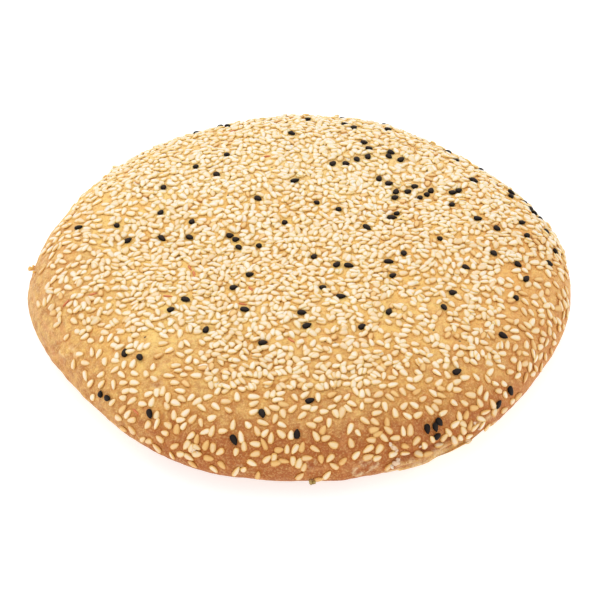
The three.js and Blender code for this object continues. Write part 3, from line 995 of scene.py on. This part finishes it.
def crust_material():
    shader = Shader("crust")
    golden = srgb(242, 195, 106)
    honey = srgb(248, 212, 128)
    pale = srgb(252, 222, 155)
    rosy = srgb(235, 175, 94)
    pink = srgb(226, 158, 98)
    brown = srgb(166, 90, 36)
    stain = srgb(190, 116, 44)
    contact_shade_colour = srgb(198, 114, 24)
    peach = srgb(232, 156, 86)
    flour_and_highlight = srgb(246, 220, 172)
    glint = srgb(248, 208, 134)
    recess_shade_colour = srgb(160, 80, 40)
    colour = shader.blotches(golden, honey, shader.noise(24, 3), 0.35, 0.65)
    colour = shader.blotches(colour, rosy, shader.noise(9, 3, shift=40), 0.5, 0.72, 0.6)
    # Browning, which carries painted shade on the left rim and painted light at the back; below 0 it pales
    # the crust as painted light.
    baked_with_painted_light = shader.attribute("browned_with_painted_light")
    colour = shader.blotches(colour, pale, shader.math("MULTIPLY", baked_with_painted_light, -1.0), 0.0, 0.25, 0.75)
    mottle = shader.spread(shader.noise(3, 5, 0.65, shift=90), 0.32, 0.68, -0.16, 0.18)
    baked_with_painted_light = shader.spread(shader.math("ADD", baked_with_painted_light, mottle), 0.05, 1.0)
    colour = shader.mix(baked_with_painted_light, colour, brown)
    colour = shader.blotches(colour, pink, shader.noise(3.2, 3, 0.6, shift=57), 0.5, 0.68, 0.35)
    colour = shader.tinted(colour, peach, "flushed", 0.35)
    paler = shader.math("SUBTRACT", 0.7, shader.math("MULTIPLY", baked_with_painted_light, 0.4))
    speckle = shader.spread(shader.noise(0.6, 3, 0.7, shift=13), 0.47, 0.63)
    colour = shader.mix(shader.math("MULTIPLY", speckle, paler), colour, glint)
    colour = shader.blotches(colour, stain, shader.noise(1.1, 4, 0.7, shift=71), 0.5, 0.68, 0.5)
    # Flour on the left rim, the lips, the base and the scar rims, and a painted highlight on the rolled
    # folds.
    colour = shader.tinted(colour, flour_and_highlight, "flour_and_roll_highlight", shader.spread(shader.noise(2.2, 4, 0.7), 0.4, 0.62))
    # Painted contact shade: the crust darkens to amber close round each seed.
    colour = shader.tinted(colour, contact_shade_colour, "seed_contact_shade", shader.spread(baked_with_painted_light, 0, 0.4, 0.06, 0.34))
    # Painted shade: dark brown down in the scar hollows and the fold creases.
    colour = shader.tinted(colour, recess_shade_colour, "hollow_and_crease_shade", 0.6)
    # Painted shade: pinker down in the troughs of the left rim's wrinkles.
    colour = shader.tinted(colour, pink, "wrinkle_trough_shade", 0.4)
    grain = shader.bump(shader.noise(0.7, 4, 0.7, shift=5), 0.35)
    pores = shader.bump(shader.spread(shader.cells(1.6), 0.0, 0.5), 0.1, grain)
    rough = shader.spread(shader.noise(6, 2, shift=33), 0.3, 0.7, 0.55, 0.72)
    return shader.finish(
        Base_Color=colour,
        Roughness=rough,
        Normal=pores,
        Subsurface_Weight=0.15,
        Subsurface_Radius=(1.0, 0.6, 0.3),
        Subsurface_Scale=1.2 * MM,
        Specular_IOR_Level=0.35,
    )


def seed_material(kind, light, dark, tip, edge):
    """Seeds from light to dark by their tone, another colour at the tip, and painted shade round the edge and
    underneath.
    """
    shader = Shader(f"{kind}_sesame")
    tone = shader.attribute("tone")
    # Painted shade round the edge; for the pale kinds it darkens with the tone.
    rim = edge if kind in DARK_SLOTS else shader.mix(tone, srgb(*PALE_EDGE_SHADE), edge)
    colour = shader.mix(tone, light, dark)
    colour = shader.blotches(colour, dark, shader.noise(1.1, 2), 0.45, 0.75, 0.3)
    colour = shader.tinted(colour, tip, "tip", 0.5)
    colour = shader.tinted(colour, rim, "edge", 0.95)
    black = kind == "black"
    return shader.finish(
        Base_Color=colour,
        Roughness=0.5 if black else 0.34,
        Normal=shader.bump(shader.noise(0.35, 2, 0.6), 0.03),
        Subsurface_Weight=0.0 if black else 0.3,
        Subsurface_Radius=(1.0, 0.75, 0.45),
        Subsurface_Scale=0.6 * MM,
        Specular_IOR_Level=0.12 if black else 0.6,
    )


def crumb_material(kind, light, dark):
    shader = Shader(f"{kind}_crumb")
    colour = shader.mix(shader.attribute("tone"), light, dark)
    colour = shader.blotches(colour, dark, shader.noise(0.8, 3), 0.4, 0.6)
    return shader.finish(
        Base_Color=colour,
        Roughness=0.5,
        Normal=shader.bump(shader.noise(0.4, 3, 0.6), 0.1),
        Subsurface_Weight=0.2,
        Subsurface_Radius=(1.0, 0.8, 0.5),
        Subsurface_Scale=0.8 * MM,
    )


# ---- The bread ----


def browning_with_painted_light(points, shares):
    """How brown the crust is, 1 where it is most, and less than 0 where it is palest: its own browning, with
    painted shade on the left rim and painted light paling the back.
    """
    x, y, z = points.T
    front = smoothstep(*BROWN_FRONT, y)
    right = smoothstep(*BROWN_RIGHT, x)
    low = smoothstep(26, 7, z)
    away = smoothstep(-64, -15, x) * (1 - 0.45 * smoothstep(25, 48, x))
    side = low * away * (0.2 + 0.8 * np.maximum(front, 0.7 * right * smoothstep(20, -40, y)))
    # The left rim's row and the term for its lower part are painted shade; the back's row below 0 is painted
    # light.
    face = sum(ramps(points, BROWNED_AND_PAINTED_LIGHT_SIDES)) + 0.1 * low * smoothstep(-40, -65, x)
    under = smoothstep(1.85, 2.0, shares) * 0.35
    turn = np.arctan2(y, x)
    lips = bell_round(turn, LIP_TURN, 20) * smoothstep(CREASE_HEIGHT, LIP_HEIGHT, z)
    return np.clip((side + face) * (1 - 0.6 * lips) + under, -0.3, 1)


def dusting(points, turns, shares):
    """Where pale flour clings: the left rim, the lips and the base."""
    left = bell_round(turns, LEFT_RIM, 40) * bell(shares - 1.05, 0.22)
    lips = bell_round(turns, LIP_TURN, 24) * bell(points[:, 2] - LIP_HEIGHT, 1.8)
    return np.clip(0.25 * left + 0.7 * lips + 0.5 * smoothstep(1.9, 2.0, shares), 0, 1)


def make_bread(camera):
    draw = np.random.default_rng(RANDOM_START)
    points, triangles, turns, shares = crust_mesh()
    normals = vertex_normals(points, triangles)
    photo = Photo(camera, points, triangles)
    hollow, scar_rim = scar_shares(points, photo)
    folded, crease, roll = fold_shares(points, photo)
    relief = crust_relief(points, turns, shares) + folded + SCAR_HEIGHT * scar_rim - SCAR_DEPTH * hollow
    points = points + normals * relief[:, None]
    flat = shares >= 2
    points[flat, 2] = 0.0
    normals = vertex_normals(points, triangles)
    photo = Photo(camera, points, triangles)
    rows = lay_seeds(photo, points, triangles, normals, draw)
    points, near = dent_round_seeds(points, normals, rows)
    points[flat, 2] = 0.0
    attributes = {
        # Browning is cut on the rolled folds as a painted highlight, and they take pale colour as one too.
        "browned_with_painted_light": browning_with_painted_light(points, shares) * (1 - 0.45 * roll),
        "flour_and_roll_highlight": np.maximum.reduce([dusting(points, turns, shares), 0.8 * scar_rim, 0.7 * roll]),
        # How close a seed lies: painted contact shade on the crust.
        "seed_contact_shade": near,
        "flushed": smoothstep(15, 70, points[:, 0]) * smoothstep(-75, -35, points[:, 1]),
        # Painted shade in the scar hollows and the fold creases.
        "hollow_and_crease_shade": np.maximum(hollow, crease),
        # Painted shade in the troughs of the left rim's wrinkles.
        "wrinkle_trough_shade": smoothstep(0.05, -0.45, rim_wrinkles(points, turns, shares)),
    }
    core = make_piece("crust", points, triangles, attributes, crust_material())
    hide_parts("flatbread")

    for kind, colours in SEED_COLOURS.items():
        chosen = [row for row in rows if row["kind"] == kind]
        material = seed_material(kind, *(srgb(*colour) for colour in colours))
        make_seeds(f"{kind}_seeds", chosen, material, draw)
    for kind, marks in CRUMBS.items():
        material = crumb_material(kind, *(srgb(*colour) for colour in CRUMB_COLOURS[kind]))
        make_crumbs(f"{kind}_crumbs", marks, photo, material, draw)


def make_floor():
    bpy.ops.mesh.primitive_plane_add(size=FLOOR_SIZE)
    floor = bpy.context.object
    floor.name = "floor"
    white = Shader("floor").finish(
        Base_Color=(FLOOR_GREY, FLOOR_GREY, FLOOR_GREY, 1),
        Roughness=0.9,
        Emission_Color=(1, 1, 1, 1),
        Emission_Strength=FLOOR_GLOW,
    )
    floor.data.materials.append(white)


def make_light():
    world = bpy.data.worlds.new("studio")
    world.use_nodes = True
    sky = world.node_tree.nodes["Background"].inputs
    sky["Color"].default_value = (1, 1, 1, 1)
    sky["Strength"].default_value = SKY_STRENGTH
    bpy.context.scene.world = world
    data = bpy.data.lights.new("window", "AREA")
    data.size = LAMP_SIZE
    data.energy = LAMP_POWER
    lamp = bpy.data.objects.new("window", data)
    bpy.context.scene.collection.objects.link(lamp)
    lamp.location = LAMP_PLACE
    lamp.rotation_euler = (-lamp.location).to_track_quat("-Z", "Y").to_euler()
    bpy.context.scene.view_settings.view_transform = "Standard"


make_bread(make_camera())
make_floor()
make_light()
